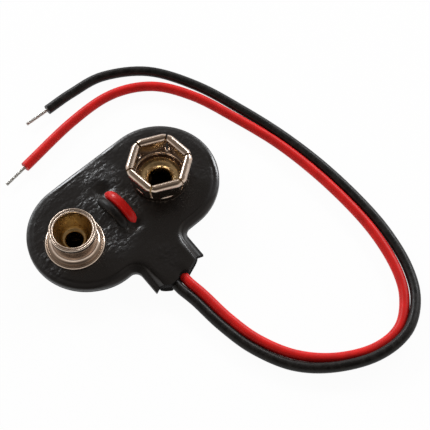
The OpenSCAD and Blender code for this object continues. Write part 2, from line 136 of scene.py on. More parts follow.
class PouchSizes(bpy.types.PropertyGroup):
    """Sizes of the vinyl pouch."""

    left: length("Left reach", "From the middle to the end beside the stud", 0.0115)
    right: length("Right reach", "From the middle to the end beside the socket", 0.0132)
    width: length("Width", "Width of the pouch across the contacts", 0.0141)
    weld: length("Weld", "Width of the flat weld round the edge", 0.00065)
    sheet: length("Sheet", "Thickness of each vinyl sheet", 0.00035)
    tail_left: length("Tail's left side", "Place of the tail's left side", -0.0032)
    tail_right: length("Tail's right side", "Place of the tail's right side", 0.0038)
    tail: length("Tail", "Distance from the contact line to the end of the tail", 0.01095)
    back: length("Set-back", "How far the corners of the tail lie behind its end", 0.00055)
    tip: length("Tip", "Length of the points at the corners of the tail", 0.00025)
    neck: length("Neck", "Radius where the tail runs into the pouch", 0.0009)
    grid: length("Grid", "Spacing of the vertices on the front face", 0.00032)
    pucker: length("Pucker", "Height of the lip that the leads push up round their slots", 0.00022)


class ContactSizes(bpy.types.PropertyGroup):
    """Sizes of the stud, the socket and their rivets."""

    pitch: length("Pitch", "Distance between the contacts", 0.0127)
    metal: length("Metal", "Thickness of the contacts' sheet metal", 0.00025)
    rivet: length("Rivet wall", "Thickness of the rivets' wall", 0.0002)
    head: length("Stud head", "Diameter of the stud's head", 0.0054)
    stud: length("Stud height", "Height of the stud above the board", 0.00355)
    swell: length("Swell", "How far the stud's head stands out over its neck", 0.0002)
    band: length("Band", "Height of the straight band round the stud's head", 0.0005)
    shelf: length("Shelf", "Height of the stud's floor above the board", 0.0009)
    foot: length("Stud foot", "Diameter of the stud's curled foot", 0.0069)
    curl: length("Curl", "Radius of the stud's curled foot", 0.000275)
    cup: length("Socket cup", "Diameter of the cup that carries the leaves", 0.0066)
    rim: length("Socket rim", "Width of the socket across the flats of its rim", 0.0072)
    corner: length("Socket corners", "Diameter over the rounded corners of the rim", 0.0077)
    lip: length("Lip", "Diameter inside the round lip that the leaves stand on", 0.0055)
    lip_height: length("Lip height", "Height of the lip above the board", 0.0011)
    socket: length("Socket height", "Height of the socket above the board", 0.00385)
    roll: length("Roll", "Width of the rolled rim of each leaf", 0.001)
    slit: length("Slit", "Width of the slit between two leaves", 0.00025)
    turn: FloatProperty(
        name="Turn", description="Turn of the socket on its rivet", default=math.radians(4.5), subtype="ANGLE"
    )
    steps: IntProperty(name="Steps", description="Steps of each turned piece", default=112, min=24, max=256)


class LeadSizes(bpy.types.PropertyGroup):
    """Sizes of the leads."""

    lead: length("Lead", "Diameter over the insulation", 0.0012)
    core: length("Conductor", "Diameter of the bare conductor", 0.0004)
    bare: length("Bare length", "Length of the stripped ends", 0.0031)
    red: length("Red lead", "Length of the red lead outside the pouch", 0.0937)
    black: length("Black lead", "Length of the black lead outside the pouch", 0.0943)
    strands: IntProperty(name="Strands", description="Outer strands of a conductor", default=6, min=3, max=12)


class Colours(bpy.types.PropertyGroup):
    """Colours of the finishes."""

    vinyl: colour("Vinyl", "Sheet of the pouch", (0.0054, 0.0047, 0.0047))
    # Lighter, bluer tint: on the front sheet a painted highlight on the raised cells where it is slack; on
    # the back sheet it tints random blotches
    grain_and_highlight: colour("Grain", "Raised grain of the sheet", (0.010, 0.0101, 0.0118))
    nickel: colour("Nickel", "Plating of the contacts", (0.61, 0.50, 0.415))
    # The stud's brass and the socket's brighter brass are a darker and a lighter copy of one brass: painted
    # shade in the stud's deep bowl, painted light on the socket's open flange
    brass: colour("Brass", "Rivet in the stud", (0.76, 0.55, 0.27))
    bright: colour("Bright brass", "Rivet in the socket", (1.0, 0.76, 0.42))
    red: colour("Red", "Insulation of the red lead", (0.64, 0.012, 0.010))
    black: colour("Black", "Insulation of the black lead", (0.0052, 0.0047, 0.0045))
    dust: colour("Dust", "Dusty patches on the black lead", (0.015, 0.0132, 0.012))
    tin: colour("Tin", "Conductors and solder", (0.62, 0.61, 0.58))
    flux: colour("Flux", "Skin of flux on the solder", (0.035, 0.026, 0.017))
    burnt: colour("Burnt flux", "Darker patches of the flux", (0.014, 0.010, 0.006))
    board: colour("Board", "Board inside the pouch", (0.23, 0.14, 0.07))


class StageSizes(bpy.types.PropertyGroup):
    """Camera and lights."""

    lens: FloatProperty(name="Lens", description="Focal length of the camera", default=109.92, unit="CAMERA")
    left: power("Left box", "Power of the soft box at the back left", 1.4)
    right: power("Right box", "Power of the soft box at the back right", 1.4)
    sky: FloatProperty(name="Sky", description="Strength of the light from all round", default=1.25)


class Value:
    """A socket of a node tree, so that shader maths reads as an expression."""

    def __init__(self, nodes, socket):
        self.nodes = nodes
        self.socket = socket

    def math(self, operation, first, second):
        return self.nodes.add("ShaderNodeMath", {"operation": operation}, {0: first, 1: second})

    def __add__(self, other):
        return self.math("ADD", self, other)

    def __radd__(self, other):
        return self.math("ADD", other, self)

    def __sub__(self, other):
        return self.math("SUBTRACT", self, other)

    def __rsub__(self, other):
        return self.math("SUBTRACT", other, self)

    def __mul__(self, other):
        return self.math("MULTIPLY", self, other)

    def __rmul__(self, other):
        return self.math("MULTIPLY", other, self)

    def __truediv__(self, other):
        return self.math("DIVIDE", self, other)

    def __rtruediv__(self, other):
        return self.math("DIVIDE", other, self)

    def __or__(self, other):
        return self.math("MAXIMUM", self, other)

    def __ror__(self, other):
        return self.math("MAXIMUM", other, self)


class Nodes:
    """Nodes of one tree, added one at a time."""

    def __init__(self, tree):
        self.tree = tree
        tree.nodes.clear()

    def add(self, kind, settings=None, inputs=None, output=0):
        """Adds a node, sets it up, fills its sockets and gives back one of its outputs."""
        node = self.tree.nodes.new(kind)
        for name, setting in (settings or {}).items():
            if name == "stops":
                ramp = node.color_ramp.elements
                for place, shade in setting[2:]:
                    ramp.new(place)
                for stop, (place, shade) in zip(ramp, sorted(setting)):
                    stop.position = place
                    stop.color = (shade, shade, shade, 1)
            else:
                setattr(node, name, setting)
        for name, value in (inputs or {}).items():
            if isinstance(value, Value):
                self.tree.links.new(value.socket, node.inputs[name])
            else:
                node.inputs[name].default_value = value
        return None if output is None else Value(self, node.outputs[output])

    def vector(self, operation, inputs, output=0):
        return self.add("ShaderNodeVectorMath", {"operation": operation}, inputs, output)

    def coordinates(self):
        return self.add("ShaderNodeTexCoord", output="Object")

    def noise(self, place, size, detail=3, rough=0.55):
        """Noise whose blotches are about so many millimetres wide."""
        return self.add(
            "ShaderNodeTexNoise", None,
            {"Vector": place, "Scale": 1000 / size, "Detail": detail, "Roughness": rough},
        )

    def ramp(self, value, *stops):
        return self.add("ShaderNodeValToRGB", {"stops": stops}, {"Fac": value})

    def grey(self, shade):
        return self.add("ShaderNodeRGBToBW", None, {"Color": shade})

    def blend(self, factor, first, second):
        return self.add("ShaderNodeMix", {"data_type": "RGBA"}, {0: factor, 6: first, 7: second}, output=2)

    def warped(self, place, size, reach):
        """Coordinates that wander by up to reach, in millimetres."""
        wander = self.add(
            "ShaderNodeTexNoise", None, {"Vector": place, "Scale": 1000 / size, "Detail": 2}, output="Color"
        )
        centred = self.vector("SUBTRACT", {0: wander, 1: (0.5, 0.5, 0.5)})
        moved = self.vector("SCALE", {0: centred, "Scale": reach * 0.002})
        return self.vector("ADD", {0: place, 1: moved})

    def spot(self, place, middle, reach):
        """A soft round patch on the face, with its middle and reach in millimetres."""
        centre = (middle[0] / 1000, middle[1] / 1000, Z_FACE / 1000)
        far = self.vector("DISTANCE", {0: place, 1: centre}, "Value")
        return self.grey(self.ramp(far * (500 / reach), (0.22, 1.0), (0.56, 0.0)))

    def bump(self, height, strength, depth):
        """Normal from a height, whose full range is so many millimetres deep."""
        return self.add(
            "ShaderNodeBump", None, {"Height": height, "Strength": strength, "Distance": depth / 1000},
            output="Normal",
        )


def finish(build):
    """A material, made once and named after the function that gives its surface."""
    material = bpy.data.materials.get(build.__name__)
    if material:
        return material
    material = bpy.data.materials.new(build.__name__)
    material.use_nodes = True
    nodes = Nodes(material.node_tree)
    surface = build(nodes, bpy.context.scene.snap_colours)
    bsdf = nodes.add("ShaderNodeBsdfPrincipled", None, surface)
    nodes.add("ShaderNodeOutputMaterial", None, {"Surface": bsdf}, output=None)
    return material


def rgba(shade, share=1):
    return (*(part * share for part in shade), 1)


def pouch_grain(nodes, tint):
    """Soft black sheet: leather cells and creases where it is slack, glossy where its weld shines. Where it
    is slack its raised cells are painted a lighter, bluer tint, a painted highlight.
    """
    place = nodes.coordinates()
    weld = nodes.add("ShaderNodeAttribute", {"attribute_name": "weld"}, output="Fac")
    shine = nodes.add("ShaderNodeAttribute", {"attribute_name": "shine"}, output="Fac")
    across = nodes.add("ShaderNodeSeparateXYZ", None, {"Vector": place}, output="Y") * 1000
    drawn = nodes.vector("MULTIPLY", {0: place, 1: (0.8, 1, 1)})
    pulled = nodes.vector("MULTIPLY", {0: place, 1: (0.3, 1, 1)})
    cells = nodes.add(
        "ShaderNodeTexVoronoi", {"feature": "SMOOTH_F1"},
        {"Vector": nodes.warped(drawn, 0.8, 0.3), "Scale": 1000 / 0.46, "Smoothness": 0.5},
    )
    pebble = nodes.grey(nodes.ramp(cells, (0.0, 1.0), (0.75, 0.0)))
    creases = nodes.noise(nodes.warped(pulled, 1.1, 0.3), 0.6, 2)
    near = nodes.spot(place, (-0.3, 3.3), 3.6)
    # Dent at the far end of the loop: no grain there and none of its painted highlight, a painted shade that
    # keeps the dent at the plain dark vinyl colour
    hollow = nodes.spot(place, (0.1, 3.25), 1.3)
    slack = nodes.grey(nodes.ramp(across / 10 + 0.6, (0.1, 0.08), (0.4, 0.32)))
    for middle, reach, strength in SLACK:
        slack = slack | nodes.spot(place, middle, reach) * strength
    tail = nodes.grey(nodes.ramp(across / 10 + 1.2, (0.38, 1.0), (0.46, 0.0)))
    patches = nodes.grey(nodes.ramp(nodes.noise(place, 3, 2), (0.36, 0.65), (0.6, 1.0)))
    worked = patches * slack * (1 - weld * 0.65) * (1 - hollow)
    height = pebble * 0.56 + creases * (0.6 + near * 0.65) + nodes.noise(place, 0.15, 3) * 0.22
    smooth = nodes.noise(place, 1.6, 2) * 0.08
    edge = weld * (0.12 - shine * 0.2 + tail * 0.2)
    return {
        # Raised cells painted lighter and bluer where the sheet is slack: a painted highlight
        "Base Color": nodes.blend(pebble * worked, rgba(tint.vinyl), rgba(tint.grain_and_highlight)),
        "Roughness": 0.23 + worked * 0.13 + edge + nodes.noise(place, 0.25, 4) * 0.05,
        "IOR": 1.5,
        "Normal": nodes.bump(height * worked + smooth, 1.0, 0.15),
    }


def pouch_back(nodes, tint):
    """The plain satin sheet at the back."""
    place = nodes.coordinates()
    blotch = nodes.noise(place, 2.2, 4)
    return {
        "Base Color": nodes.blend(blotch, rgba(tint.vinyl), rgba(tint.grain_and_highlight)),
        "Roughness": 0.36 + blotch * 0.16,
        "Normal": nodes.bump(nodes.noise(place, 0.35, 5) + nodes.noise(place, 3, 2) * 2, 0.5, 0.03),
    }


def pouch_inside(nodes, tint):
    """Dull inside and cut ends of the sheets."""
    return {
        "Base Color": rgba(tint.vinyl),
        "Roughness": 0.75 + nodes.noise(nodes.coordinates(), 0.5, 4) * 0.2,
        "Specular IOR Level": 0.1,
    }


def contact_nickel(nodes, tint):
    """Plated sheet metal with drawing marks and a slightly uneven tint."""
    place = nodes.coordinates()
    haze = nodes.noise(place, 1.6, 4)
    marks = nodes.noise(nodes.warped(place, 0.3, 0.1), 0.18, 3)
    dull = nodes.ramp(haze, (0.35, 0.0), (0.7, 1.0))
    return {
        "Base Color": nodes.blend(dull, rgba(tint.nickel), rgba(tint.nickel, 0.72)),
        "Metallic": 1.0,
        "Roughness": 0.17 + dull * 0.06 + marks * 0.05,
        "Normal": nodes.bump(haze, 0.15, 0.01),
    }


def brass(nodes, tint, shade, rough):
    """Brass, tarnished in patches and still plated along its upper rim."""
    place = nodes.coordinates()
    high = nodes.add("ShaderNodeSeparateXYZ", None, {"Vector": place}, output="Z") * 1000
    plated = nodes.ramp(high - 5, (0.42, 0.0), (0.52, 1.0))
    tarnish = nodes.ramp(nodes.noise(place, 0.8, 5, 0.65), (0.35, 0.0), (0.75, 1.0))
    worn = nodes.blend(tarnish, rgba(shade), rgba(shade, 0.5))
    return {
        "Base Color": nodes.blend(plated, worn, rgba(tint.nickel)),
        "Metallic": 1.0,
        "Roughness": rough + nodes.grey(tarnish) * 0.16,
        "Normal": nodes.bump(nodes.noise(place, 0.4, 3), 0.2, 0.01),
    }


# Darker copy of the brass: painted shade in the stud's deep bowl
def stud_brass(nodes, tint):
    return brass(nodes, tint, tint.brass, 0.24)


# Lighter copy of the brass: painted light on the socket's open flange
def socket_brass(nodes, tint):
    return brass(nodes, tint, tint.bright, 0.22)


def lead_red(nodes, tint):
    """Satin red cable insulation, a little glossier where it is bent over the front."""
    place = nodes.coordinates()
    cloud = nodes.noise(place, 1.4, 4)
    bent = nodes.spot(place, (0.4, 0.0), 3.2)
    shaded = nodes.ramp(cloud, (0.4, 0.0), (0.75, 1.0))
    return {
        "Base Color": nodes.blend(shaded, rgba(tint.red), rgba(tint.red, 0.72)),
        "Roughness": 0.38 + cloud * 0.1 - bent * 0.18,
        "Specular IOR Level": 0.2,
        "Normal": nodes.bump(cloud, 0.25, 0.02),
    }


def lead_black(nodes, tint):
    """Black cable insulation with dust and handling marks."""
    place = nodes.coordinates()
    specks = nodes.noise(nodes.warped(place, 1.2, 0.5), 0.75, 5, 0.65)
    dusty = nodes.ramp(specks, (0.42, 0.0), (0.68, 1.0))
    return {
        "Base Color": nodes.blend(dusty, rgba(tint.black), rgba(tint.dust)),
        "Roughness": 0.36 + nodes.grey(dusty) * 0.16,
        "Specular IOR Level": 0.2,
        "Normal": nodes.bump(dusty, 0.2, 0.015),
    }


def wire_tin(nodes, tint):
    """Tinned copper and solder."""
    place = nodes.coordinates()
    frost = nodes.noise(place, 0.3, 5)
    return {
        "Base Color": nodes.blend(frost, rgba(tint.tin), rgba(tint.tin, 0.6)),
        "Metallic": 1.0,
        "Roughness": 0.26 + frost * 0.22,
        "Normal": nodes.bump(frost, 0.4, 0.015),
    }


def joint_flux(nodes, tint):
    """Solder under a dull brown skin of flux."""
    skin = nodes.noise(nodes.coordinates(), 0.35, 4)
    return {
        "Base Color": nodes.blend(skin, rgba(tint.burnt), rgba(tint.flux)),
        "Roughness": 0.6 + skin * 0.25,
        "Normal": nodes.bump(skin, 0.4, 0.03),
    }


def board_fibre(nodes, tint):
    """Pressed fibre board."""
    place = nodes.coordinates()
    fibres = nodes.noise(nodes.warped(place, 0.8, 0.6), 0.4, 6, 0.7)
    return {
        "Base Color": nodes.blend(fibres, rgba(tint.board, 0.5), rgba(tint.board)),
        "Roughness": 0.7 + fibres * 0.2,
        "Normal": nodes.bump(fibres, 0.6, 0.03),
    }


def only(kind, parts):
    """The parts of a mesh that are of one kind."""
    return [part for part in parts if isinstance(part, kind)]


def with_rims(faces):
    """A set of faces together with their edges and vertices."""
    edges = {edge for face in faces for edge in face.edges}
    verts = {vert for face in faces for vert in face.verts}
    return list(faces | edges | verts)


def move(bm, vec):
    bmesh.ops.translate(bm, verts=bm.verts, vec=vec)


def rotate(bm, matrix):
    bmesh.ops.rotate(bm, verts=bm.verts, cent=(0, 0, 0), matrix=matrix)


class Line:
    """A line drawn by extruding and spinning its last vertex, upright in X and Z or flat in X and Y."""

    def __init__(self, bm, across, along, upright=True):
        self.bm = bm
        self.upright = upright
        self.first = self.tip = bm.verts.new(self.at(across, along))

    def at(self, across, along):
        return Vector((across, 0, along)) if self.upright else Vector((across, along, 0))

    def to(self, across, along):
        self.tip = bmesh.ops.extrude_vert_indiv(self.bm, verts=[self.tip])["verts"][0]
        self.tip.co = self.at(across, along)
        return self

    def arc(self, across, along, degrees, steps=8):
        """Sweeps the last vertex round a centre."""
        axis = (0, -1, 0) if self.upright else (0, 0, 1)
        swept = bmesh.ops.spin(
            self.bm, geom=[self.tip], cent=self.at(across, along), axis=axis, angle=math.radians(degrees),
            steps=steps,
        )
        self.tip = only(BMVert, swept["geom_last"])[0]
        return self

    def close(self):
        self.bm.edges.new((self.tip, self.first))
        return self


def turn(bm, steps):
    """Spins every line of a mesh about the upright axis."""
    bmesh.ops.spin(
        bm, geom=bm.verts[:] + bm.edges[:], cent=(0, 0, 0), axis=(0, 0, 1), angle=math.tau, steps=steps,
        use_merge=True,
    )


def make_piece(bm, name, material, nodes, sharp=50):
    """Turns a mesh in millimetres into a piece that stands for CAD nodes."""
    bmesh.ops.remove_doubles(bm, verts=bm.verts, dist=1e-4)
    bmesh.ops.recalc_face_normals(bm, faces=bm.faces)
    bmesh.ops.scale(bm, verts=bm.verts, vec=(0.001, 0.001, 0.001))
    for face in bm.faces:
        face.smooth = True
    mesh = bpy.data.meshes.new(name)
    bm.to_mesh(mesh)
    bm.free()
    mesh.set_sharp_from_angle(angle=math.radians(sharp))
    return place_piece(bpy.data.objects.new(name, mesh), material, nodes)


def place_piece(piece, material, nodes):
    bpy.context.scene.collection.objects.link(piece)
    piece.data.materials.append(material)
    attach(piece, "root")
    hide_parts(*nodes)
    return piece


def dress_node(node, material):
    """Gives a CAD node that stays a finish of its own."""
    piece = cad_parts[node]
    piece.data.materials.clear()
    piece.data.materials.append(material)


def tube(name, points, diameter):
    """A round curve through points in metres, with the smooth course that the solids have."""
    line = bpy.data.curves.new(name, "CURVE")
    line.dimensions = "3D"
    line.resolution_u = 8
    line.bevel_depth = diameter / 2
    line.bevel_resolution = 6
    line.use_fill_caps = True
    spline = line.splines.new("BEZIER")
    spline.bezier_points.add(len(points) - 1)
    course = [Vector(point) for point in points]
    before = [2 * course[0] - course[1], *course[:-1]]
    after = [*course[1:], 2 * course[-1] - course[-2]]
    for knot, here, back, ahead in zip(spline.bezier_points, course, before, after):
        lean = (ahead - back) / 6
        knot.co = here
        knot.handle_left_type = knot.handle_right_type = "FREE"
        knot.handle_left = here - lean
        knot.handle_right = here + lean
    return bpy.data.objects.new(name, line)


def welded_sheet(size, wall, crown):
    """Outline of the pouch with a wall below it and rings inside it, each an inset and a rise.

    The tail runs on past its end, to be cut there. Gives the mesh and the face inside the last ring.
    """
    bm = bmesh.new()
    r = mm(size.width) / 2
    near = -mm(size.tail) - 2
    left, right, neck = mm(size.tail_left), mm(size.tail_right), mm(size.neck)
    start, stop, steps = mm(size.right) - r, r - mm(size.left), 16
    line = Line(bm, right, near, upright=False)
    line.to(right, -r - neck).arc(right + neck, -r - neck, -90, 8)
    line.to(start, -r).arc(start, 0, 180, 48)
    for step in range(1, steps + 1):
        line.to(start + (stop - start) * step / steps, r)
    line.arc(stop, 0, 180, 48)
    line.to(left - neck, -r).arc(left - neck, -r - neck, -90, 8)
    line.to(left, near).close()
    edge = bm.edges[:]
    face = bmesh.ops.contextual_create(bm, geom=edge)["faces"][0]
    skirt = bmesh.ops.extrude_edge_only(bm, edges=edge)["geom"]
    bmesh.ops.translate(bm, verts=only(BMVert, skirt), vec=(0, 0, -wall))
    for inset, rise in crown:
        bmesh.ops.inset_individual(bm, faces=[face], thickness=inset, use_even_offset=True)
        bmesh.ops.translate(bm, verts=face.verts, vec=(0, 0, rise))
    return bm, face


def cut_tail(bm, size):
    """Cuts the tail off, closes it, bows it out over the leads and draws its corners out into points."""
    end = -mm(size.tail)
    left, right, weld = mm(size.tail_left), mm(size.tail_right), mm(size.weld)
    root = TAIL_END + end
    cut = bmesh.ops.bisect_plane(
        bm, geom=bm.verts[:] + bm.edges[:] + bm.faces[:], plane_co=(0, end, 0), plane_no=(0, -1, 0),
        clear_outer=True,
    )["geom_cut"]
    for face in bmesh.ops.contextual_create(bm, geom=only(BMEdge, cut))["faces"]:
        face.material_index = 1
    for x in (
        left + weld / 2, left + weld, left + weld + 0.5, LEAD_LEFT, 0.4, LEAD_RIGHT,
        right - weld - 1.2, right - weld - 0.6, right - weld, right - weld / 2,
    ):
        tail = {face for face in bm.faces if min(vert.co.y for vert in face.verts) < root}
        bmesh.ops.bisect_plane(bm, geom=with_rims(tail), dist=1e-4, plane_co=(x, 0, 0), plane_no=(1, 0, 0))
    for vert in bm.verts:
        x, y = vert.co.xy
        if y < root:
            beside = max(
                (x - LEAD_RIGHT) / (right - weld - LEAD_RIGHT), (LEAD_LEFT - x) / (LEAD_LEFT - left - weld)
            )
            inside = max(0, min(x - left, right - x))
            behind = mm(size.back + size.tip) * clamp(beside) - mm(size.tip) * max(0, 1 - inside / weld)
            vert.co.y += behind * (root - y) / (root - end)


def thicken(cover, size):
    """Gives a sheet its thickness and the dull finish of its cut end."""
    cover.data.materials.append(finish(pouch_inside))
    wall = cover.modifiers.new("thickness", "SOLIDIFY")
    wall.thickness = size.sheet
    wall.offset = -1
    return wall


def tail_share(size, y):
    """How far down the tail a place is, from 0 at the pouch to 1 at the cut end."""
    start = mm(size.weld + size.sheet) - mm(size.width) / 2
    return max(0, (start - y) / (start + mm(size.tail)))


class SNAP_OT_stage(bpy.types.Operator):
    """Camera at the photographed angle, soft lights, white surroundings and a pale floor"""

    bl_idname = "snap.stage"
    bl_label = "Stage"

    def execute(self, context):
        scene = context.scene
        size = scene.snap_stage
        scene.view_settings.view_transform = "Standard"

        camera = bpy.data.cameras.new("camera")
        camera.lens = size.lens
        camera.sensor_width = 36
        camera.clip_start = 0.005
        view = bpy.data.objects.new("camera", camera)
        view.location = CAMERA
        view.rotation_euler = Vector(AHEAD).to_track_quat("-Z", "Y").to_euler()
        scene.collection.objects.link(view)
        scene.camera = view

        self.lamp(scene, "left_box", LEFT_BOX, size.left)
        self.lamp(scene, "right_box", RIGHT_BOX, size.right)
        self.surroundings(scene, size)

        bm = bmesh.new()
        bmesh.ops.create_grid(bm, x_segments=8, y_segments=8, size=1.5)
        move(bm, (0, 0, -0.00002))
        mesh = bpy.data.meshes.new("floor")
        bm.to_mesh(mesh)
        bm.free()
        floor = bpy.data.objects.new("floor", mesh)
        scene.collection.objects.link(floor)
        mesh.materials.append(self.paper())
        return {"FINISHED"}

    def surroundings(self, scene, size):
        """A pale room: bright low down, dim overhead and darkest above the camera."""
        world = bpy.data.worlds.new("surroundings")
        scene.world = world
        world.use_nodes = True
        nodes = Nodes(world.node_tree)
        way = nodes.add("ShaderNodeTexCoord", output="Generated")
        up = nodes.add("ShaderNodeSeparateXYZ", None, {"Vector": way}, output="Z")
        near = nodes.vector("DOT_PRODUCT", {0: way, 1: (-0.33, -0.37, 0.87)}, "Value")
        fall = ((0.0, 1.0), (1.0, 0.25), (0.2, 0.9), (0.5, 0.42), (0.74, 0.19), (0.86, 0.16))
        low = nodes.grey(nodes.ramp(up, *fall))
        dark = nodes.grey(nodes.ramp(near, (0.7, 1.0), (0.97, 0.3)))
        tone = nodes.blend(low, (1, 0.82, 0.66, 1), (1, 0.98, 0.96, 1))
        light = nodes.add("ShaderNodeBackground", None, {"Color": tone, "Strength": low * dark * size.sky})
        nodes.add("ShaderNodeOutputWorld", None, {"Surface": light}, output=None)

    def lamp(self, scene, name, place, power):
        """A wide soft box that faces the snap."""
        light = bpy.data.lights.new(name, "AREA")
        light.shape = "RECTANGLE"
        light.size = 0.3
        light.size_y = 0.085
        light.energy = power
        light.color = (0.94, 0.97, 1)
        lamp = bpy.data.objects.new(name, light)
        lamp.location = place
        lamp.rotation_euler = (-Vector(place)).to_track_quat("-Z", "Y").to_euler()
        scene.collection.objects.link(lamp)

    def paper(self):
        material = bpy.data.materials.new("paper")
        material.use_nodes = True
        nodes = Nodes(material.node_tree)
        camera = nodes.add("ShaderNodeLightPath", output="Is Camera Ray")
        glossy = nodes.add("ShaderNodeLightPath", output="Is Glossy Ray")
        clear = nodes.add("ShaderNodeLightPath", output="Is Transmission Ray")
        white = nodes.add("ShaderNodeEmission", None, {"Color": (1, 1, 1, 1), "Strength": 1.0})
        matt = nodes.add("ShaderNodeBsdfDiffuse", None, {"Color": (0.86, 0.86, 0.86, 1)})
        seen = (camera | glossy | clear) * 0.96
        shown = nodes.add("ShaderNodeMixShader", None, {0: seen, 1: matt, 2: white})
        nodes.add("ShaderNodeOutputMaterial", None, {"Surface": shown}, output=None)
        return material


class SNAP_OT_free_leads(bpy.types.Operator):
    """Red and black leads from the tail to their stripped ends"""

    bl_idname = "snap.free_leads"
    bl_label = "Free leads"

    def execute(self, context):
        size = context.scene.snap_leads
        for shade, route, run, look in (
            ("red", RED_ROUTE, size.red, lead_red), ("black", BLACK_ROUTE, size.black, lead_black)
        ):
            cord = tube(f"{shade}_cord", route, size.lead)
            place_piece(cord, finish(look), [f"{shade}_free_lead"])
            strands = self.conductor(size, shade, Vector(route[-1]), Vector(route[-1]) - Vector(route[-2]))
        return {"FINISHED"}

    def conductor(self, size, shade, start, ahead):
        """A middle strand with others twisted round it, each spun along the lead."""
        bm = bmesh.new()
        strand = mm(size.core) / 6
        run = mm(size.bare)
        for place in range(size.strands + 1):
            ring = bmesh.ops.create_circle(bm, segments=8, radius=strand * 0.98)["verts"]
            if place:
                bmesh.ops.translate(bm, verts=ring, vec=(2 * strand, 0, 0))
                round_core = Matrix.Rotation(math.tau * place / size.strands, 3, "Z")
                bmesh.ops.rotate(bm, verts=ring, cent=(0, 0, 0), matrix=round_core)
            steps = 28
            loop = {edge for vert in ring for edge in vert.link_edges}
            bmesh.ops.contextual_create(bm, geom=list(loop))
            swept = bmesh.ops.spin(
                bm, geom=list(loop), cent=(0, 0, 0), axis=(0, 0, 1), dvec=(0, 0, run / steps),
                angle=math.radians(250), steps=steps,
            )
            bmesh.ops.contextual_create(bm, geom=only(BMEdge, swept["geom_last"]))
        rotate(bm, ahead.to_track_quat("Z", "X").to_matrix())
        move(bm, start * 1000)
        return make_piece(bm, f"{shade}_strands", finish(wire_tin), [f"{shade}_bare_end"])


class SNAP_OT_held_leads(bpy.types.Operator):
    """Leads inside the pouch, with the loop over its front"""

    bl_idname = "snap.held_leads"
    bl_label = "Held leads"

    def execute(self, context):
        size = context.scene.snap_leads
        for shade, x, side, out, look in (
            ("red", 0.425, 1, (3.732, 3.054), lead_red), ("black", -0.825, -1, (-3.904, 2.808), lead_black)
        ):
            course = [(x, y, z) for y, z in LOOP]
            course += (x + side * 0.6, 3.95, Z_LEAD), ((x + out[0]) / 2, 4.25, Z_LEAD), (*out, Z_LEAD)
            lead = tube(f"{shade}_loop", [Vector(point) / 1000 for point in course], size.lead)
            place_piece(lead, finish(look), [f"{shade}_lead"])
        return {"FINISHED"}


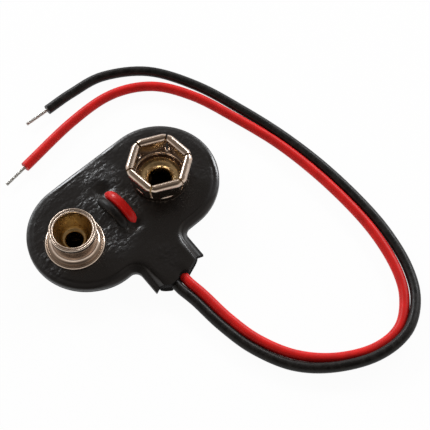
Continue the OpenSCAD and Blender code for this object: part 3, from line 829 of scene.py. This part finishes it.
class SNAP_OT_front_cover(bpy.types.Operator):
    """Grained front sheet with its weld, holes and puckered slots"""

    bl_idname = "snap.front_cover"
    bl_label = "Front cover"

    def execute(self, context):
        size = context.scene.snap_pouch
        pitch = mm(context.scene.snap_contacts.pitch)
        weld = mm(size.weld)
        crown = (
            (0.03, 0.07), (0.04, 0.05), (0.1, 0.05), (0.15, 0.055), (0.13, 0.045), (weld - 0.5, 0.01),
            (0.08, 0.02), (0.12, 0.06), (0.12, 0.06), (0.1, 0.03), (0.12, 0.02), (0.16, 0.02), (0.2, 0.01),
        )
        bm, face = welded_sheet(size, Z_WELD - EDGE - Z_SEAM, crown)
        move(bm, (0, 0, Z_WELD - EDGE))
        layer = bm.verts.layers.float.new("weld")
        for vert in bm.verts:
            vert[layer] = 1 - clamp((vert.co.z - Z_WELD - 0.02) / 0.2)

        brim = face.edges[:]
        bmesh.ops.delete(bm, geom=[face], context="FACES_ONLY")
        holes = []
        stud_hole, socket_hole = 3.4, 3.33
        for x, radius in ((-pitch / 2, stud_hole), (pitch / 2, socket_hole)):
            middle = Matrix.Translation((x, 0, Z_FACE))
            ring = bmesh.ops.create_circle(bm, segments=72, radius=radius, matrix=middle)
            holes += {edge for vert in ring["verts"] for edge in vert.link_edges}
        left, right, r = -1.4, 1.0, 0.45
        for near, far in SLOTS:
            before = set(bm.edges)
            slot = Line(bm, right, near + r, upright=False)
            slot.to(right, far - r).arc(right - r, far - r, 90, 8)
            slot.to(left + r, far).arc(left + r, far - r, 90, 8)
            slot.to(left, near + r).arc(left + r, near + r, 90, 8)
            slot.to(right - r, near).arc(right - r, near + r, 90, 8)
            opened = [edge for edge in bm.edges if edge not in before]
            for vert in {vert for edge in opened for vert in edge.verts}:
                vert.co.z = Z_FACE
            holes += opened
        bmesh.ops.remove_doubles(bm, verts=bm.verts, dist=1e-4)
        holes = [edge for edge in holes if edge.is_valid]
        top = bmesh.ops.triangle_fill(bm, use_beauty=True, edges=brim + holes, normal=(0, 0, 1))["geom"]
        self.grid(bm, only(BMFace, top), mm(size.grid))
        self.shape(bm, size)
        cut_tail(bm, size)
        self.draw_back(bm, size)
        cover = make_piece(bm, "front_sheet", finish(pouch_grain), ["front_cover"], 70)
        thicken(cover, size)
        return {"FINISHED"}

    def grid(self, bm, faces, spacing):
        """Cuts the face into small squares, so that it can be shaped."""
        faces = set(faces)
        for axis in (0, 1):
            places = [vert.co[axis] for face in faces for vert in face.verts]
            low, high = min(places), max(places)
            normal = Vector((axis == 0, axis == 1, 0))
            for step in range(1, int((high - low) / spacing)):
                place = normal * (low + step * spacing)
                parts = with_rims(faces)
                cut = bmesh.ops.bisect_plane(bm, geom=parts, dist=1e-5, plane_co=place, plane_no=normal)
                faces = set(only(BMFace, cut["geom"]))

    def shape(self, bm, size):
        """Slopes the tail down, works the sheet at its slots, lifts the weld and lets the face wander."""
        r = mm(size.width) / 2
        end = mm(size.right) - r
        layer = bm.verts.layers.float.new("shine")
        for vert in bm.verts:
            x, y, z = vert.co
            crown = clamp((z - Z_WELD) / (Z_FACE - Z_WELD))
            share = tail_share(size, y)
            shine, steep = self.shine(x, y)
            vert[layer] = shine
            wander = noise.noise(Vector((x * 0.6, y * 0.6, 0))) * 0.03
            drop = share * (WELD_DROP + (FACE_DROP - WELD_DROP) * crown)
            flush = clamp(max(0.55 - share * 4, (max(0, x - end) + y) / r + 0.35))
            square = clamp(share * 6 - 1.4)
            level = self.level(z, flush, square, shine, steep) if z > Z_SEAM + 0.1 else 0
            vert.co.z += (self.relief(x, y, mm(size.pucker)) + wander) * crown + level - drop

    def shine(self, x, y):
        """How much the edge of the weld shines at a place, and how steep it is there."""
        return max(
            (min(1, 1.6 * math.exp(-((x - at) ** 2 + (y - to) ** 2) / reach ** 2)), steep)
            for (at, to), reach, steep in SHINE
        )

    def level(self, z, flush, square, shine, steep):
        """How far the weld is lifted: towards the face where it is flush, at its edge where it is square."""
        lift = 0.2
        below = Z_WELD + 0.07 - z
        if below < 0:
            raised = lift + below * 0.87
        else:
            dull = min(0.25, lift + 0.45 * below, 0.48 - 1.6 * below)
            raised = dull + (lift + below * (1 - steep) - dull) * shine
        return raised * flush + max(0, Z_WELD - z) * square

    def relief(self, x, y, pucker):
        """Height of the lip round the slots, less the dents at the ends of the loop."""
        middle, half, fade, depth = (-0.2, 0.1), (1.0, 2.5), 0.2, 0.3
        over = max(0, abs(x - middle[0]) - half[0])
        past = max(0, abs(y - middle[1]) - half[1])
        lip = math.exp(-(over * over + past * past) / fade) * clamp(2.6 - y)
        dent = sum(math.exp(-((x - 0.1) / 0.9) ** 2 - ((y - end) / reach) ** 2) for end, reach in DENTS)
        return pucker * lip - depth * dent

    def draw_back(self, bm, size):
        """Draws the upper end of the tail back a little over the red lead."""
        middle, half, reach, most = 0.4, 0.8, 1.6, 0.45
        end, low = -mm(size.tail), Z_SEAM - WELD_DROP
        for vert in bm.verts:
            x, y, z = vert.co
            arch = max(0, 1 - ((x - middle) / half) ** 2) * clamp(z - low)
            vert.co.y += most * arch * max(0, 1 - (y - end) / reach)


class SNAP_OT_back_cover(bpy.types.Operator):
    """Back sheet, drawn down round the board and the leads"""

    bl_idname = "snap.back_cover"
    bl_label = "Back cover"

    def execute(self, context):
        size = context.scene.snap_pouch
        weld = mm(size.weld)
        sheet = mm(size.sheet)
        edge = sheet - 0.08
        crown = (
            (0.05, 0.05), (0.1, 0.03), (weld - 0.2, 0.0), (0.06, 0.04), (0.03, 0.3), (0.04, 0.55),
            (0.12, 0.32), (0.18, 0.24), (0.2, 0.14), (0.22, 0.06),
        )
        bm = welded_sheet(size, edge, crown)[0]
        move(bm, (0, 0, edge))
        tallest = max(vert.co.z for vert in bm.verts)
        for vert in bm.verts:
            vert.co.z = Z_SEAM - vert.co.z * Z_SEAM / tallest
            share = tail_share(size, vert.co.y)
            vert.co.z -= share * WELD_DROP * vert.co.z / Z_SEAM
        cut_tail(bm, size)
        cover = make_piece(bm, "back_sheet", finish(pouch_back), ["back_cover"], 60)
        thicken(cover, size).material_offset = 1
        return {"FINISHED"}


class SNAP_OT_stud(bpy.types.Operator):
    """Drawn stud with its curled foot, waisted neck and rolled head"""

    bl_idname = "snap.stud"
    bl_label = "Stud"

    def execute(self, context):
        size = context.scene.snap_contacts
        head, metal = mm(size.head) / 2, mm(size.metal)
        swell, curl, shelf = mm(size.swell), mm(size.curl), mm(size.shelf)
        neck = head - swell
        curl_x = mm(size.foot) / 2 - curl
        sweep = curl_x - curl / 2 - neck
        rim = metal / 2
        top = mm(size.stud) - rim
        land = top - mm(size.band)
        bore = 1.25
        bm = bmesh.new()
        line = Line(bm, curl_x, 0)
        line.arc(curl_x, curl, 210, 14)
        line.to(neck + sweep, 2 * curl).arc(neck + sweep, 2 * curl + sweep, -90, 10)
        line.to(neck, land - 2 * swell - 0.1).to(neck + 0.012, land - 2 * swell)
        line.to(neck + 0.05, land - 1.6 * swell)
        line.to(head - 0.05, land - 0.4 * swell).to(head - 0.012, land).to(head, land + 0.08)
        line.to(head, top).arc(head - rim, top, 180, 10)
        line.to(head - metal, land).to(neck - metal, land - 2 * swell)
        line.to(neck - metal, shelf).to(bore, shelf).to(bore, shelf - metal).to(neck, shelf - metal)
        line.to(curl_x - curl, metal).to(curl_x - curl, 0).close()
        turn(bm, size.steps)
        move(bm, (-mm(size.pitch) / 2, 0, Z_TOP))
        make_piece(bm, "stud_shell", finish(contact_nickel), ["stud"])
        return {"FINISHED"}


class SNAP_OT_socket(bpy.types.Operator):
    """Drawn cup with rolled spring leaves and a slit between each two"""

    bl_idname = "snap.socket"
    bl_label = "Socket"

    def execute(self, context):
        size = context.scene.snap_contacts
        metal = mm(size.metal)
        cup, lip, lip_z = mm(size.cup) / 2, mm(size.lip) / 2, mm(size.lip_height)
        wall = cup - metal
        bore = 2.15
        bm = bmesh.new()
        line = Line(bm, bore, 0)
        line.to(wall, 0).arc(wall, metal, 90, 8)
        line.to(cup, lip_z - metal).arc(wall, lip_z - metal, 90, 8)
        line.to(lip + metal / 2, lip_z).arc(lip + metal / 2, lip_z - metal / 2, 180, 10)
        line.to(wall, lip_z - metal).to(wall, metal + 0.1).arc(wall - 0.1, metal + 0.1, -90, 4)
        line.to(bore, metal).close()
        turn(bm, size.steps)
        for place in range(6):
            self.leaf(bm, size, math.tau * place / 6)
        rotate(bm, Matrix.Rotation(size.turn, 3, "Z"))
        move(bm, (mm(size.pitch) / 2, 0, Z_TOP))
        make_piece(bm, "socket_shell", finish(contact_nickel), ["socket"], 42)
        return {"FINISHED"}

    def leaf(self, bm, size, angle):
        """Section of a leaf, pulled across its flat, cut to its share of the turn and rounded at its ends."""
        metal = mm(size.metal)
        cup, corner = mm(size.cup) / 2, mm(size.corner) / 2
        foot, foot_z = cup - 0.1 - metal, mm(size.lip_height)
        low = foot_z - metal / 2
        roll = mm(size.roll) / 2
        fold = roll - metal
        roll_x, roll_z = mm(size.rim) / 2 - roll, mm(size.socket) - roll
        lean = math.atan2(roll_x - foot, roll_z - foot_z)
        lean += math.asin(fold / math.hypot(roll_x - foot, roll_z - foot_z))
        sweep = 180 + math.degrees(lean)
        back = foot + metal / math.cos(lean)
        foot_corner = corner * back / (mm(size.rim) / 2)
        apex = mm(size.slit) / 2 / math.sin(math.pi / 6)
        half = corner * math.tan(math.pi / 6)

        leaf = bmesh.new()
        line = Line(leaf, back, low)
        line.to(back, foot_z)
        line.to(roll_x + roll * math.cos(lean), roll_z - roll * math.sin(lean)).arc(roll_x, roll_z, sweep, 20)
        line.to(roll_x - roll, roll_z - 0.03).arc(roll_x - roll + metal / 2, roll_z - 0.03, 180, 8)
        line.to(roll_x - fold, roll_z).arc(roll_x, roll_z, -sweep, 12)
        line.to(foot, foot_z).to(foot, low).close()
        section = bmesh.ops.contextual_create(leaf, geom=leaf.edges[:])["faces"]
        move(leaf, (0, -half, 0))
        pulled = bmesh.ops.extrude_face_region(leaf, geom=section, use_keep_orig=True)["geom"]
        bmesh.ops.translate(leaf, verts=only(BMVert, pulled), vec=(0, 2 * half, 0))
        across = [edge for edge in leaf.edges if abs(edge.verts[0].co.y - edge.verts[1].co.y) > half]
        bmesh.ops.subdivide_edges(leaf, edges=across, cuts=21, use_grid_fill=True)
        for side in (-1, 1):
            normal = Vector((-math.sin(math.pi / 6), side * math.cos(math.pi / 6), 0))
            cut = bmesh.ops.bisect_plane(
                leaf, geom=leaf.verts[:] + leaf.edges[:] + leaf.faces[:], dist=1e-5, plane_co=(apex, 0, 0),
                plane_no=normal, clear_outer=True,
            )["geom_cut"]
            bmesh.ops.contextual_create(leaf, geom=only(BMEdge, cut))
        for vert in leaf.verts:
            x, y, z = vert.co
            climb = min(1, (z - low) / (roll_z - low))
            over = min(1, max(0, z - roll_z) / roll)
            limit = foot_corner + (corner - foot_corner) * climb - roll * (1 - math.sqrt(1 - over * over))
            reach = math.hypot(x, y)
            if reach > limit:
                vert.co.x *= limit / reach
                vert.co.y *= limit / reach
        bmesh.ops.recalc_face_normals(leaf, faces=leaf.faces)
        steep = math.radians(55)
        ends = [edge for edge in leaf.edges if edge.is_manifold and edge.calc_face_angle(0) > steep]
        bmesh.ops.bevel(
            leaf, geom=ends, offset=0.05, segments=3, profile=0.5, affect="EDGES", clamp_overlap=True,
            material=-1,
        )
        rotate(leaf, Matrix.Rotation(angle, 3, "Z"))
        mesh = bpy.data.meshes.new("leaf")
        leaf.to_mesh(mesh)
        leaf.free()
        bm.from_mesh(mesh)
        bpy.data.meshes.remove(mesh)


class SNAP_OT_rivets(bpy.types.Operator):
    """Brass rivets inside the stud and the socket"""

    bl_idname = "snap.rivets"
    bl_label = "Rivets"

    def execute(self, context):
        size = context.scene.snap_contacts
        wall, metal = mm(size.rivet), mm(size.metal)
        swell, shelf = mm(size.swell), mm(size.shelf)
        cup = mm(size.head) / 2 - swell - metal - 0.05
        bowl, rim = cup - wall, wall / 2
        top = mm(size.stud) - 0.05 - rim
        land = mm(size.stud) - metal / 2 - mm(size.band)
        under, bore, clinch = -0.9, 1.0, 1.95
        shank = bore + wall
        bm = bmesh.new()
        line = Line(bm, cup, shelf)
        line.to(cup, land - 2 * swell).to(cup + swell, land)
        line.to(cup + swell, top).arc(cup + swell - rim, top, 180, 10)
        line.to(bowl + swell, land).to(bowl + 0.03, land - 1.8 * swell).to(bowl, land - 2.4 * swell)
        line.to(bowl - 0.1, 2.2).to(1.55, 1.45).to(1.4, 1.22).to(1.28, 1.12)
        line.to(shank, shelf + wall).arc(shank, shelf, 90, 10)
        line.to(bore, under).to(clinch, under).to(clinch, under + wall)
        line.to(shank, under + wall).to(shank, shelf).close()
        turn(bm, size.steps)
        move(bm, (-mm(size.pitch) / 2, 0, Z_TOP))
        make_piece(bm, "stud_eyelet", finish(stud_brass), ["stud_rivet"])

        brim, funnel, flange, soft = 2.1, 0.87, 2.5, 0.08
        face, bore, shank, clinch = metal + wall, brim - funnel, 1.55, 2.2
        bm = bmesh.new()
        line = Line(bm, 1.9, metal)
        line.to(flange, metal).to(flange, face - soft).arc(flange - soft, face - soft, 90, 5)
        line.to(brim, face).arc(brim, face - funnel, 90, 16)
        line.to(bore, under).to(clinch, under).to(clinch, under + wall)
        line.to(shank, under + wall).to(shank, 0).close()
        turn(bm, size.steps)
        move(bm, (mm(size.pitch) / 2, 0, Z_TOP))
        make_piece(bm, "socket_eyelet", finish(socket_brass), ["socket_rivet"])
        return {"FINISHED"}


class SNAP_OT_inside(bpy.types.Operator):
    """Finishes of the board and the solder joints inside the pouch"""

    bl_idname = "snap.inside"
    bl_label = "Inside"

    def execute(self, context):
        dress_node("board", finish(board_fibre))
        for shade in ("red", "black"):
            dress_node(f"{shade}_core", finish(wire_tin))
            dress_node(f"{shade}_solder", finish(joint_flux))
        return {"FINISHED"}


class SNAP_PT_sidebar(bpy.types.Panel):
    """Lists the steps that dress the snap"""

    bl_idname = "SNAP_PT_sidebar"
    bl_label = "Battery snap"
    bl_space_type = "VIEW_3D"
    bl_region_type = "UI"
    bl_category = "Snap"

    def draw(self, context):
        for step in STEPS:
            self.layout.operator(step.bl_idname)
        for group in GROUPS:
            self.layout.separator()
            sizes = getattr(context.scene, group)
            for name in sizes.__annotations__:
                self.layout.prop(sizes, name)


GROUPS = {
    "snap_pouch": PouchSizes,
    "snap_contacts": ContactSizes,
    "snap_leads": LeadSizes,
    "snap_colours": Colours,
    "snap_stage": StageSizes,
}
STEPS = (
    SNAP_OT_stage, SNAP_OT_free_leads, SNAP_OT_held_leads, SNAP_OT_front_cover, SNAP_OT_back_cover,
    SNAP_OT_stud, SNAP_OT_socket, SNAP_OT_rivets, SNAP_OT_inside,
)
CLASSES = (*GROUPS.values(), *STEPS, SNAP_PT_sidebar)


def register():
    for item in CLASSES:
        bpy.utils.register_class(item)
    for name, group in GROUPS.items():
        setattr(bpy.types.Scene, name, PointerProperty(type=group))


def unregister():
    for name in GROUPS:
        delattr(bpy.types.Scene, name)
    for item in reversed(CLASSES):
        bpy.utils.unregister_class(item)


def main():
    register()
    bpy.ops.snap.stage()
    bpy.ops.snap.free_leads()
    bpy.ops.snap.held_leads()
    bpy.ops.snap.front_cover()
    bpy.ops.snap.back_cover()
    bpy.ops.snap.stud()
    bpy.ops.snap.socket()
    bpy.ops.snap.rivets()
    bpy.ops.snap.inside()


if __name__ == "__main__":
    main()
